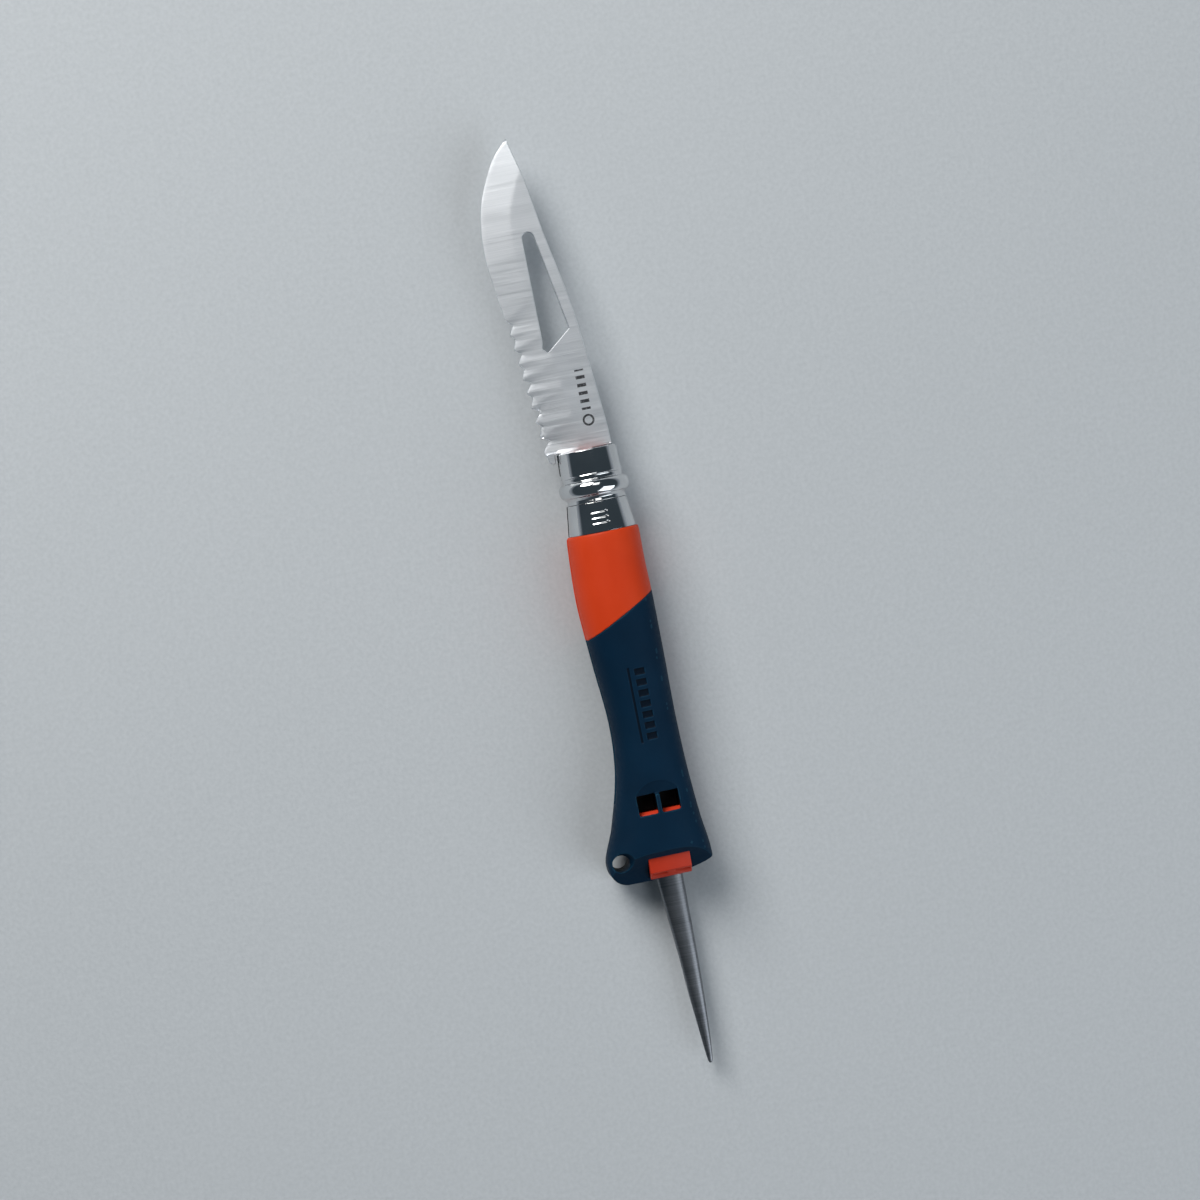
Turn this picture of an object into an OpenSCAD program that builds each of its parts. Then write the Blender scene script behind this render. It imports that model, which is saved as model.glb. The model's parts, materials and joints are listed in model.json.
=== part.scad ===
// Rigging knife: serrated blade with a shackle key, rotating locking ring, whistle and folding marlinspike.
// The knife lies on its back. +X is the spine side, +Y points to the blade's tip, +Z is the front.
// The design is drawn with the collar's top edge on the handle's axis at the origin, then moved once.

/* [Blade] */
// Thickness of the blade
blade_t = 2.0; // [1.6:0.1:2.2]
// Distance between two serrations
serration_pitch = 4.11; // [4.0:0.01:4.2]
// Number of serrations
serration_count = 9; // [3:1:9]

/* [Collar] */
// Radius of the collar's top
collar_r = 8.4; // [8.3:0.05:8.6]
// Length of the locking ring
ring_len = 14.4; // [14:0.1:14.6]
// Radius of the locking ring's bead
bead_r = 9.95; // [9.6:0.05:9.95]
// Length of the whole collar
collar_len = 22.8; // [22:0.1:23]
// Angle that the locking ring turns
ring_turn_angle = 35; // [25:1:40]

/* [Handle] */
// Thickness of the soft grip over the core
grip_t = 1.4; // [1.0:0.1:1.6]
// Half the handle's thickness at the back
back_t = 10.15; // [10.1:0.05:10.3]
// Height of the slot for the blade
blade_slot_h = 2.6; // [2.4:0.1:2.8]
// Radius of the lanyard hole
lanyard_r = 2.4; // [2.0:0.1:2.6]

/* [Whistle] */
// Width of the two sound windows together
whistle_w = 11.7; // [10:0.1:12]
// Width of the rib between the two sound windows
rib_w = 1.2; // [0.8:0.1:2]

/* [Marlinspike] */
// Thickness of the marlinspike
spike_t = 4.0; // [3.4:0.1:4.0]
// Length of the marlinspike outside the handle
spike_reach = 54.4; // [48:0.1:54.6]

/* [Hidden] */
$fn = 96;

steel = "silver";
dark_steel = "dimgray";
orange = "orangered";
navy = "midnightblue";

eps = 0.01;
far = 60;

// Blade
blade_pivot = [-2.0, -3.5];
pivot_r = 2.0;
running_gap = 0.05;
tang_r = 5.2;
washer_r = 3.3;
washer_play = 0.03;
washer_t = (blade_slot_h - blade_t) / 2 - 2 * washer_play;
deep_notch = [1.75, 1.6];      // radius of the notch and its depth
shallow_notch = [2.0, 0.9];
serration_slope = 0.0875;
serration_x0 = -11.12;
first_serration = 4.25;
spine_points = [[7.25, 0.3], [6.65, 10.9], [4.0, 38.6], [0.1, 60.8], [-2.0, 74.6], [-3.4, 81.0],
                [-5.0, 87.7]];
edge_points = [[-5.0, 87.7], [-9.5, 83.0], [-13.2, 76.2], [-15.7, 69.1], [-16.9, 59.1], [-16.3, 50.1],
               [-15.2, 41.6], [-14.75, 38.8]];
heel_points = [[-11.0, 0.0], [-10.6, -1.6], [-9.8, -2.3], [-9.0, -2.0], [-8.9, 0.3]];

// Collar: a thin tube that carries the ring, and a cone below the ring
tube_r = collar_r - 0.85;
tube_top = -0.3;
rivet_inset = 0.02;
tube_bore_r = 6.6;
ring_bore_r = tube_r + running_gap;
ring_gap = 0.1;
cone_top_r = 8.4;
cone_end_r = 9.5;
ring_slit_w = 3.2;
notch_top = -5.9;
bead_y = -10.5;
bead_round = [1.5, 2.4];

// Handle: distance along Y, left, right and front half sizes, roundness of the section
stations = [[-22.9, 9.4, 9.4, 9.4, 2.0], [-23.9, 10.1, 10.0, 10.0, 2.0], [-33, 10.7, 9.9, 10.2, 2.1],
            [-43, 10.9, 10.1, 10.4, 2.2], [-59, 9.9, 10.0, 9.9, 2.3], [-76, 8.7, 9.8, 9.3, 2.3],
            [-90, 9.8, 10.1, 9.5, 2.4], [-104, 13.6, 11.0, 9.7, 2.6], [-113, 17.1, 12.1, 9.6, 2.7],
            [-121.5, 17.3, 12.4, 9.4, 2.8]];
back_power = 3.2;
rim_y = -23.5;
section_points = 32;
station_steps = 2;
grip_edge_left = [-10.4, -51.8];
grip_edge_right = [9.8, -41.3];
slot_floor_x = 7.0;
slot_end_y = -97.6;
tail_arc = [-7.5, -60.4, 60];
left_corner = [-11.5, -115.0, 5.4];
right_corner = [10.1, -115.3, 2.2];
bevel_top = [-111.8, 9.6];
bevel_angle = 43;
lanyard_at = [-13.45, -113.6];
lanyard_len = 11;
lanyard_flare = [2.2, 5];       // how much wider it gets, and over what length
core_corner = [-8.8, -101];

// Whistle
whistle_x = -0.3;
window_y = [-101.5, -95.9];
chamber_end_y = -83;
chamber_floor_z = 2.6;
insert_floor_z = 2.2;
insert_top_z = 6.4;
insert_slope_z = [4.2, 5.8];
insert_end_y = -100.8;
mouth = [[-113.6, 7.4], [-117.8, 6.2], [-119.9, 2.9], [-119.5, insert_floor_z]];
roof_z = mouth[0][1];
chamber_top_z = roof_z - 0.4;
windway_wall = 0.5;
windway_z = [4.6, 5.6];

// Marlinspike
spike_pivot = [2.0, -112.0];
spike_pin_r = 2.0;
spike_z = -4.8;
spike_slot_h = spike_t + 0.4;
spike_tang_r = 6.2;
spike_tang_t = spike_t + 0.2;
spike_root_y = -120.4;
pin_ends_z = [-8.6, -1.6];
short_pin_ends_z = [-8.4, -1.6];
spring_x = [-3.6, -1.2];
spring_y = [-106.5, -62];
spring_pin_r = 0.8;
spring_pin_y = [-66, -74];
stop_pin_at = [-5.35, -116.9];
stop_pin_r = 1;

// The origin is the middle of the part's underside
part_shift = [2.43, 43.55, back_t];

// Points between each pair of points, on a smooth curve through them all
function curve_point(a, b, c, d, t) =
    0.5 * (2 * b + (c - a) * t + (2 * a - 5 * b + 4 * c - d) * t * t + (3 * b - a - 3 * c + d) * t * t * t);
function curve(p, steps) = concat(
    [for (i = [0:len(p) - 2]) for (j = [0:steps - 1])
        curve_point(p[max(i - 1, 0)], p[i], p[i + 1], p[min(i + 2, len(p) - 1)], j / steps)],
    [p[len(p) - 1]]);
function arc(centre, r, from, to, steps) =
    [for (i = [0:steps]) let (a = from + (to - from) * i / steps) centre + r * [cos(a), sin(a)]];
function power(v, e) = sign(v) * pow(abs(v), e);

module place() translate(part_shift) children();
module along_y() rotate([-90, 0, 0]) children();
module disc(at, r, z0, z1) translate([at[0], at[1], z0]) cylinder(r = r, h = z1 - z0);
module slab(x0, x1, y0, y1, z0, z1) translate([x0, y0, z0]) cube([x1 - x0, y1 - y0, z1 - z0]);

// ---------- blade ----------

function serration_y(i) = first_serration + serration_pitch * i;
function serration_x(y) = serration_x0 - serration_slope * y;

module shackle_key() {
    polygon(concat(
        arc([-4.3, 59.9], 1.65, 10, 180, 8),
        [[-5.95, 31.6]],
        arc([-5.7, 29.5], 0.6, 180, 250, 3),
        arc([-5.1, 29.0], 0.8, 250, 310, 4),
        [[1.95, 33.6]]));
}

module blade_outline() {
    difference() {
        union() {
            polygon(concat(curve(spine_points, 4), curve(edge_points, 4),
                           [[serration_x(38.5), 38.5]], heel_points, [[-7.0, 0.3]]));
            translate(blade_pivot) circle(r = tang_r);
        }
        for (i = [0:serration_count - 1]) {
            y = serration_y(i);
            deep = i % 2 == 0;
            notch = deep ? deep_notch : shallow_notch;
            translate([serration_x(y) - notch[0] + notch[1], y]) circle(r = notch[0]);
        }
        shackle_key();
    }
}

module blade() color(steel) place() difference() {
    translate([0, 0, -blade_t / 2]) linear_extrude(blade_t) blade_outline();
    disc(blade_pivot, pivot_r + running_gap, -far, far);
}

module blade_rivet() color(dark_steel) place() intersection() {
    disc(blade_pivot, pivot_r, -far, far);
    along_y() cylinder(r = tube_r - rivet_inset, h = collar_len, center = true);
}

module blade_washers() color("peru") place() for (side = [-1, 1]) difference() {
    z = side * (blade_slot_h / 2 - washer_t / 2 - washer_play);
    disc(blade_pivot, washer_r, z - washer_t / 2, z + washer_t / 2);
    disc(blade_pivot, pivot_r, -far, far);
}

// The space that the folding blade needs, open on the edge side
module blade_slot() slab(-far, slot_floor_x, slot_end_y, 1, -blade_slot_h / 2, blade_slot_h / 2);

// ---------- collar ----------

module fixed_collar() color(steel) place() difference() {
    along_y() rotate_extrude() polygon([
        [tube_bore_r, tube_top], [tube_r, tube_top], [tube_r, -ring_len - ring_gap],
        [cone_top_r, -ring_len - ring_gap], [cone_end_r, -collar_len], [tube_bore_r, -collar_len]]);
    blade_slot();
    disc(blade_pivot, pivot_r, -far, far);
}

module ring_profile() polygon(concat(
    [[ring_bore_r, 0], [collar_r - 0.15, 0], [collar_r, -0.2], [collar_r + 0.35, -7.0],
     [collar_r + 0.15, -7.2]],
    [for (i = [0:8]) let (a = 150 * i / 8 - 60)
        [bead_r - bead_round[0] * (1 - cos(a)), bead_y - bead_round[1] * sin(a)]],
    [[collar_r - 0.2, -13.5], [collar_r, -ring_len + 0.2], [collar_r - 0.15, -ring_len],
     [ring_bore_r, -ring_len]]));

module locking_ring() color(steel) place() difference() {
    along_y() rotate_extrude() ring_profile();
    slab(-far, 0, -far, far, -ring_slit_w / 2, ring_slit_w / 2);
    // the low notch leaves room for the folded blade while the ring is turned
    edge = asin(ring_slit_w / 2 / collar_r);
    translate([0, notch_top, 0]) rotate([90, 0, 0]) linear_extrude(far)
        polygon([[0, 0], far * [-cos(ring_turn_angle + edge), -sin(ring_turn_angle + edge)],
                 [-far, -far / 4], [-far, 0]]);
}

// ---------- handle ----------

// The handle's outer form, smaller all round by inset
module handle_form(inset) {
    rings = curve(stations, station_steps);
    n = section_points;
    points = [for (s = rings) for (i = [0:n - 1]) let (
        a = 360 * (i + 0.5) / n,
        side = (cos(a) > 0 ? s[2] : s[1]) - inset,
        flat_back = sin(a) < 0 && s[0] < rim_y,
        height = (flat_back ? back_t : s[3]) - inset,
        e = 2 / (flat_back ? back_power : s[4]))
        [side * power(cos(a), e), s[0], height * power(sin(a), e)]];
    sides = [for (k = [0:len(rings) - 2]) for (i = [0:n - 1]) let (j = (i + 1) % n)
        each [[k * n + i, (k + 1) * n + j, k * n + j], [k * n + i, (k + 1) * n + i, (k + 1) * n + j]]];
    last = (len(rings) - 1) * n;
    polyhedron(points, concat(sides, [[for (i = [0:n - 1]) i]], [[for (i = [n - 1:-1:0]) last + i]]));
}

// The tail seen from the front, with its rounded corners
module tail_plan(inset) linear_extrude(2 * far, center = true) polygon(concat(
    [[far, 0], [far, -100], [right_corner[0] + right_corner[2] - inset, -110]],
    arc([right_corner[0], right_corner[1]], right_corner[2] - inset, 0, -62, 4),
    arc([tail_arc[0], tail_arc[1]], tail_arc[2] - inset, -73.5, -92.5, 6),
    arc([left_corner[0], left_corner[1]], left_corner[2] - inset, -100, -175, 6),
    [[-17.2 + inset, -111], [-far, -100], [-far, 0]]));

module tail_bevel() translate([0, bevel_top[0], bevel_top[1]]) rotate([bevel_angle, 0, 0])
    slab(-far, far, -far, 6, 0, far);

// One side of the slanting edge of the soft grip
module grip_side(above) {
    run = grip_edge_right - grip_edge_left;
    translate([grip_edge_left[0], grip_edge_left[1], 0]) rotate(atan2(run[1], run[0]))
        slab(-far, far, above ? 0 : -2 * far, above ? far : 0, -far, far);
}

module lanyard_hole() {
    disc(lanyard_at, lanyard_r, -far, far);
    for (side = [0, 1]) mirror([0, 0, side]) translate([lanyard_at[0], lanyard_at[1], lanyard_len / 2])
        cylinder(r1 = lanyard_r, r2 = lanyard_r + lanyard_flare[0], h = lanyard_flare[1]);
}

module whistle_windows() for (x = [-whistle_w / 2, rib_w / 2]) {
    w = (whistle_w - rib_w) / 2;
    translate([whistle_x + x, 0, 0]) {
        slab(0, w, window_y[0], window_y[1], chamber_floor_z, far);
        slab(0, w, window_y[0] - eps, chamber_end_y, chamber_floor_z, chamber_top_z);
    }
}

module insert_seat() slab(whistle_x - whistle_w / 2, whistle_x + whistle_w / 2, -far * 3, insert_end_y,
                          insert_floor_z, roof_z);

// The space that the folding marlinspike needs, open on the spine side and at the tail
module spike_slot() translate([0, 0, spike_z - spike_slot_h / 2]) linear_extrude(spike_slot_h) {
    polygon([[0.6, -103.3], [3.6, -81.0], [8.5, -49.2], [9.7, -48.2], [far, -48.2], [far, -130],
             [-4.7, -130], [-4.7, -112], [0, -108]]);
    translate(spike_pivot) circle(r = spike_tang_r + 0.4);
}

module spring_pocket() slab(spring_x[0] - 0.9, spring_x[1] + 0.1, spring_y[0] - 1.5, spring_y[1] + 0.2,
                            spike_z - spike_slot_h / 2, spike_z + spike_slot_h / 2);

// The part of the core that the soft grip covers
module covered_core() difference() {
    intersection() {
        handle_form(grip_t);
        tail_plan(grip_t);
    }
    slab(-far, core_corner[0], -far * 3, core_corner[1], -far, far);
    translate([0, 0, -grip_t]) tail_bevel();
}

module hollows() {
    blade_slot();
    spike_slot();
    spring_pocket();
    whistle_windows();
    insert_seat();
    lanyard_hole();
    disc(spike_pivot, spike_pin_r, pin_ends_z[0], pin_ends_z[1]);
    for (y = spring_pin_y) disc([spring_middle, y], spring_pin_r, short_pin_ends_z[0], short_pin_ends_z[1]);
    disc(stop_pin_at, stop_pin_r, short_pin_ends_z[0], short_pin_ends_z[1]);
}

module handle_core() color(orange) place() difference() {
    union() {
        intersection() {
            handle_form(0);
            grip_side(above = true);
        }
        covered_core();
        along_y() translate([0, 0, -collar_len - 0.2]) cylinder(r = tube_bore_r, h = collar_len - 0.3);
    }
    hollows();
    disc(blade_pivot, pivot_r, -far, far);
}

module grip_sleeve() color(navy) place() difference() {
    intersection() {
        handle_form(0);
        tail_plan(0);
        grip_side(above = false);
    }
    covered_core();
    tail_bevel();
    hollows();
}

// ---------- whistle ----------

module whistle_mouthpiece() color(orange) place() difference() {
    translate([whistle_x - whistle_w / 2, 0, 0]) rotate([90, 0, 90]) linear_extrude(whistle_w)
        polygon(concat([
            [window_y[0], insert_floor_z], [window_y[0], insert_slope_z[0]],
            [insert_end_y, insert_slope_z[1]], [insert_end_y, insert_top_z], [window_y[0], roof_z]], mouth));
    for (x = [-whistle_w / 2, rib_w / 2]) translate([whistle_x + x, 0, 0])
        slab(windway_wall, (whistle_w - rib_w) / 2 - windway_wall, -far * 3, far, windway_z[0], windway_z[1]);
}

// ---------- marlinspike ----------

spring_middle = (spring_x[0] + spring_x[1]) / 2;
spike_end = spike_root_y - spike_reach;
// distance along the spike from 0 to 1, left edge, right edge and half thickness
spike_stations = [[-0.10, -4.3, 3.7, 1], [0, -4.0, 3.6, 1], [0.2, -3.1, 3.45, 0.98], [0.42, -2.1, 3.3, 0.93],
                  [0.62, -1.45, 2.95, 0.82], [0.8, -0.65, 2.5, 0.66], [0.93, -0.05, 2.0, 0.47],
                  [0.985, 0.3, 1.65, 0.32], [1, 0.6, 1.3, 0.16]];
spike_section_points = 16;

module spike_body() {
    n = spike_section_points;
    rings = spike_stations;
    points = [for (s = rings) for (i = [0:n - 1]) let (
        a = 360 * (i + 0.5) / n,
        middle = (s[1] + s[2]) / 2,
        half = (s[2] - s[1]) / 2)
        [middle + half * power(cos(a), 0.8), spike_root_y - s[0] * spike_reach,
         s[3] * spike_t / 2 * power(sin(a), 0.7)]];
    sides = [for (k = [0:len(rings) - 2]) for (i = [0:n - 1]) let (j = (i + 1) % n)
        each [[k * n + i, (k + 1) * n + j, k * n + j], [k * n + i, (k + 1) * n + i, (k + 1) * n + j]]];
    last = (len(rings) - 1) * n;
    translate([0, 0, spike_z])
        polyhedron(points, concat(sides, [[for (i = [0:n - 1]) i]], [[for (i = [n - 1:-1:0]) last + i]]));
}

module marlinspike() color(dark_steel) place() difference() {
    union() {
        spike_body();
        disc(spike_pivot, spike_tang_r, spike_z - spike_tang_t / 2, spike_z + spike_tang_t / 2);
    }
    disc(spike_pivot, spike_pin_r + running_gap, -far, far);
}

module spike_pin() color(steel) place() disc(spike_pivot, spike_pin_r, pin_ends_z[0], pin_ends_z[1]);

module spike_spring() color(steel) place() difference() {
    slab(spring_x[0], spring_x[1], spring_y[0], spring_y[1], spike_z - spike_t / 2, spike_z + spike_t / 2);
    for (y = spring_pin_y) disc([spring_middle, y], spring_pin_r, -far, far);
}

module spring_pins() color(steel) place()
    for (y = spring_pin_y) disc([spring_middle, y], spring_pin_r, short_pin_ends_z[0], short_pin_ends_z[1]);

module spike_stop_pin() color(steel) place()
    disc(stop_pin_at, stop_pin_r, short_pin_ends_z[0], short_pin_ends_z[1]);

blade();
blade_rivet();
blade_washers();
fixed_collar();
locking_ring();
handle_core();
grip_sleeve();
whistle_mouthpiece();
marlinspike();
spike_pin();
spike_spring();
spring_pins();
spike_stop_pin();
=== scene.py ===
"""Looks of the rigging knife: smooth handle mouldings, ground blade, polished collar, and the studio."""

import json
import math

import bmesh
import bpy
import numpy as np
from mathutils import Matrix, Vector
from mathutils.geometry import delaunay_2d_cdt


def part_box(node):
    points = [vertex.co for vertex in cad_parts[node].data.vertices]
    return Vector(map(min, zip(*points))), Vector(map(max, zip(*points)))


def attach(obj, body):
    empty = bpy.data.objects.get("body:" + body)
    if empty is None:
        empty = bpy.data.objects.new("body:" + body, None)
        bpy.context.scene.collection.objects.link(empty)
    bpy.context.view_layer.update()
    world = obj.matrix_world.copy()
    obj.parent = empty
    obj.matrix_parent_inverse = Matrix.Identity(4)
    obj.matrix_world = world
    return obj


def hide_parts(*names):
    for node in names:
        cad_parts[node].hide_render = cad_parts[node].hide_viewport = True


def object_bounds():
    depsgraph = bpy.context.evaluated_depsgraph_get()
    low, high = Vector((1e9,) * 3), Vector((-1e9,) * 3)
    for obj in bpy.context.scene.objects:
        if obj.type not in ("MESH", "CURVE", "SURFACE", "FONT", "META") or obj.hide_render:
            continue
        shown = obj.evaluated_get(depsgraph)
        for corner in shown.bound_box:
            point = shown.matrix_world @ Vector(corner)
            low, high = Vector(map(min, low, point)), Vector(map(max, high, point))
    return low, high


MM = 0.001
FAR = 60.0

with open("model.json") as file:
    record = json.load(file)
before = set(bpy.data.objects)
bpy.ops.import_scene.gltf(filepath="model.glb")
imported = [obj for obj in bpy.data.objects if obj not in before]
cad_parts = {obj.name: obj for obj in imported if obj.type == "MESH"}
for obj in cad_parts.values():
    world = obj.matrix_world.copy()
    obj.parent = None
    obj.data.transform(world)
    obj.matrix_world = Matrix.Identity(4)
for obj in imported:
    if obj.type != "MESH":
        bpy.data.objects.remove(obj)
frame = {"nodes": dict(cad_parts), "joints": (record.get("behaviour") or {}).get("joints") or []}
cad_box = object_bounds()
joints = {joint["name"]: joint for joint in frame["joints"]}

# Every size below that has no unit is in millimetres, measured from the collar's top edge on the
# handle's axis. +X is the spine side, +Y points to the blade's tip and +Z is the front.
AXIS = Vector(joints["ring_turn"]["pos_m"])
COLLAR_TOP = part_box("locking_ring")[1].y


START = np.array([AXIS.x, COLLAR_TOP, AXIS.z])


def place(points):
    """Millimetres from the collar's top to metres in the frame."""
    return np.asarray(points, float) * MM + START


def unplace(points):
    """Metres in the frame to millimetres from the collar's top."""
    return (np.asarray(points, float) - START) / MM


def pivot(joint):
    """A joint's place in millimetres."""
    return unplace([joints[joint]["pos_m"]])[0]


# ---------- camera, lights and floor ----------

VIEW_TILT = Vector((-0.087, 0.047, 0.995)).normalized()
VIEW_ROLL = math.radians(11.36)
VIEW_DISTANCE = 0.780
VIEW_TARGET = (-4.6, -41.3, 2.0)
LENS, SENSOR = 85, 36
# name, offset from the knife in metres (right, up, back), side in metres, watts, colour
LIGHTS = [("key", (-0.62, 0.85, 0.95), 0.75, 21.0, (1.0, 0.985, 0.96)),
          ("fill", (1.0, -0.60, 0.75), 1.1, 8.5, (0.90, 0.95, 1.0)),
          ("top", (0.08, 0.70, 1.2), 0.5, 1.6, (1.0, 1.0, 1.0))]
# height of the direction and its colour: pale near the horizon, dark overhead
SKY = [(0.02, (0.62, 0.68, 0.75, 1)), (0.24, (0.075, 0.10, 0.12, 1))]
SKY_STRENGTH = 0.58
FLOOR_HALF, FLOOR_GAP = 6.0, 0.0002


def view_axes():
    """Right, up and back of the camera, in the frame."""
    back = VIEW_TILT
    along = (Vector((0, 1, 0)) - back * back.y).normalized()
    up = Matrix.Rotation(-VIEW_ROLL, 3, back) @ along
    return up.cross(back).normalized(), up, back


def look_from(obj, position, right, up, back):
    """Puts a camera or light at position, turned to these three directions."""
    axes = Matrix((right, up, back)).transposed().to_4x4()
    obj.matrix_world = Matrix.Translation(position) @ axes


def make_camera():
    right, up, back = view_axes()
    camera = bpy.data.objects.new("camera", bpy.data.cameras.new("camera"))
    camera.data.lens = LENS
    camera.data.sensor_width = SENSOR
    bpy.context.scene.collection.objects.link(camera)
    target = Vector(place([VIEW_TARGET])[0])
    look_from(camera, target + back * VIEW_DISTANCE, right, up, back)
    bpy.context.scene.camera = camera


def area_light(name, offset, size, power, colour):
    """A square soft box at offset (right, up, back) metres from the knife, facing it."""
    right, up, back = view_axes()
    light = bpy.data.objects.new(name, bpy.data.lights.new(name, "AREA"))
    light.data.shape = "RECTANGLE"
    light.data.size = light.data.size_y = size
    light.data.energy = power
    light.data.color = colour
    bpy.context.scene.collection.objects.link(light)
    target = Vector(place([VIEW_TARGET])[0])
    position = target + right * offset[0] + up * offset[1] + back * offset[2]
    facing = (position - target).normalized()
    side = up.cross(facing).normalized()
    look_from(light, position, side, facing.cross(side), facing)


def make_studio():
    """Dim surroundings, the lights and a pale floor under the knife."""
    world = bpy.data.worlds.new("studio")
    bpy.context.scene.world = world
    world.use_nodes = True
    nodes, links = world.node_tree.nodes, world.node_tree.links
    direction = nodes.new("ShaderNodeTexCoord")
    split = nodes.new("ShaderNodeSeparateXYZ")
    ramp = nodes.new("ShaderNodeValToRGB")
    links.new(direction.outputs["Generated"], split.inputs[0])
    links.new(split.outputs["Z"], ramp.inputs["Fac"])
    links.new(ramp.outputs["Color"], nodes["Background"].inputs["Color"])
    for element, (position, colour) in zip(ramp.color_ramp.elements, SKY):
        element.position, element.color = position, colour
    nodes["Background"].inputs["Strength"].default_value = SKY_STRENGTH
    for light in LIGHTS:
        area_light(*light)
    bpy.context.scene.view_settings.view_transform = "Standard"

    floor = bpy.data.meshes.new("floor")
    half, low = FLOOR_HALF, cad_box[0][2] - FLOOR_GAP
    floor.from_pydata([(-half, -half, low), (half, -half, low), (half, half, low), (-half, half, low)],
                      [], [(0, 1, 2, 3)])
    floor_obj = bpy.data.objects.new("floor", floor)
    bpy.context.scene.collection.objects.link(floor_obj)
    floor.materials.append(paper_material())


# ---------- materials ----------


class Nodes:
    """Short ways to add and join the nodes of one material."""

    def __init__(self, name):
        self.material = bpy.data.materials.new(name)
        self.material.use_nodes = True
        self.tree = self.material.node_tree
        self.shader = self.tree.nodes["Principled BSDF"]
        self.coords = self.tree.nodes.new("ShaderNodeTexCoord").outputs["Object"]

    def add(self, kind, **inputs):
        node = self.tree.nodes.new(kind)
        for key, value in inputs.items():
            self.join(value, node.inputs[key.replace("_", " ")])
        return node

    def join(self, value, socket):
        if isinstance(value, bpy.types.NodeSocket):
            self.tree.links.new(value, socket)
        else:
            socket.default_value = value

    def math(self, operation, *values):
        node = self.tree.nodes.new("ShaderNodeMath")
        node.operation = operation
        for value, socket in zip(values, node.inputs):
            self.join(value, socket)
        return node.outputs[0]

    def stretched(self, scale):
        node = self.add("ShaderNodeMapping", Vector=self.coords)
        node.inputs["Scale"].default_value = scale
        return node.outputs[0]

    def noise(self, scale, detail=4.0, vector=None):
        node = self.add("ShaderNodeTexNoise", Vector=vector or self.coords, Scale=scale, Detail=detail)
        return node.outputs["Fac"]

    def fit(self, value, low, high, new_low, new_high):
        node = self.tree.nodes.new("ShaderNodeMapRange")
        for number, key in ((low, "From Min"), (high, "From Max"), (new_low, "To Min"), (new_high, "To Max")):
            node.inputs[key].default_value = number
        self.join(value, node.inputs["Value"])
        return node.outputs["Result"]

    def mix(self, factor, a, b):
        node = self.tree.nodes.new("ShaderNodeMix")
        node.data_type = "RGBA"
        self.join(factor, node.inputs["Factor"])
        self.join(a if isinstance(a, bpy.types.NodeSocket) else (*a, 1), node.inputs["A"])
        self.join(b if isinstance(b, bpy.types.NodeSocket) else (*b, 1), node.inputs["B"])
        return node.outputs["Result"]

    def bump(self, height, strength, distance):
        node = self.add("ShaderNodeBump", Height=height, Strength=strength, Distance=distance)
        return node.outputs["Normal"]

    def blend(self, a, b, share):
        """a and b added, with this share of b."""
        return self.math("ADD", self.math("MULTIPLY", a, 1 - share), self.math("MULTIPLY", b, share))

    def coordinates(self):
        """The object coordinates, one socket for each axis."""
        return self.add("ShaderNodeSeparateXYZ", Vector=self.coords).outputs

    def finish(self, **inputs):
        for key, value in inputs.items():
            if isinstance(value, tuple) and len(value) == 3:
                value = (*value, 1)
            self.join(value, self.shader.inputs[key.replace("_", " ")])
        return self.material


def paper_material():
    n = Nodes("paper")
    cloud = n.noise(2.2, 3)
    grain = n.noise(900, 2)
    tone = n.fit(n.blend(cloud, grain, 0.6), 0.3, 0.7, 0.0, 1.0)
    return n.finish(Base_Color=n.mix(tone, (0.455, 0.483, 0.505), (0.525, 0.552, 0.575)),
                    Roughness=0.85, Specular_IOR_Level=0.2, Normal=n.bump(grain, 0.3, 0.0002))


def grip_material():
    n = Nodes("navy_soft_grip")
    cloud = n.noise(55, 3)
    grain = n.noise(2600, 2)
    pores = n.noise(900, 3)
    colour = n.mix(n.fit(cloud, 0.3, 0.7, 0.0, 1.0), (0.0006, 0.0125, 0.031), (0.0011, 0.0175, 0.042))
    # Painted highlight: along sharp convex edges the navy turns paler blue, standing in for the light line
    # that catches the edges.
    geometry = n.tree.nodes.new("ShaderNodeNewGeometry")
    edge = n.fit(geometry.outputs["Pointiness"], 0.514, 0.55, 0.0, 0.7)
    colour = n.mix(edge, colour, (0.008, 0.045, 0.08))
    # Painted shade: the pressed palm grooves are coloured near black, standing in for the shade that falls in
    # them.
    colour = n.mix(n.math("MULTIPLY", palm_groove_shade(n), 0.8), colour, (0.0002, 0.002, 0.006))
    return n.finish(Base_Color=colour, Roughness=n.fit(pores, 0.3, 0.7, 0.50, 0.64),
                    Specular_IOR_Level=0.09, Normal=n.bump(grain, 0.35, 0.00005))


def palm_groove_shade(n):
    """1 in the grooves that deboss() presses into the grip's front, 0 elsewhere: where the grip gets painted
    shade.
    """
    axes = n.coordinates()
    x0, y0, _ = place([[0.0, PALM_Y[1], 0.0]])[0]
    x = n.math("DIVIDE", n.math("SUBTRACT", axes["X"], x0), MM)
    y = n.math("DIVIDE", n.math("SUBTRACT", axes["Y"], y0), MM)
    bars = n.math("GREATER_THAN", n.math("PINGPONG", y, PALM_PITCH / 2), PALM_PITCH / 2 - 0.9)
    beside = n.math("ABSOLUTE", n.math("SUBTRACT", x, PALM_BARS[0]))
    bars = n.math("MULTIPLY", bars, n.math("LESS_THAN", beside, PALM_BARS[1] - 0.1))
    beside = n.math("ABSOLUTE", n.math("SUBTRACT", x, PALM_LINE[0]))
    line = n.math("LESS_THAN", beside, PALM_LINE[1] - 0.05)
    low, high = (-FAR, PALM_Y[0], PALM_Z), (FAR, PALM_Y[1], FAR)
    return n.math("MULTIPLY", n.math("MAXIMUM", bars, line), within(n, low, high))


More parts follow.
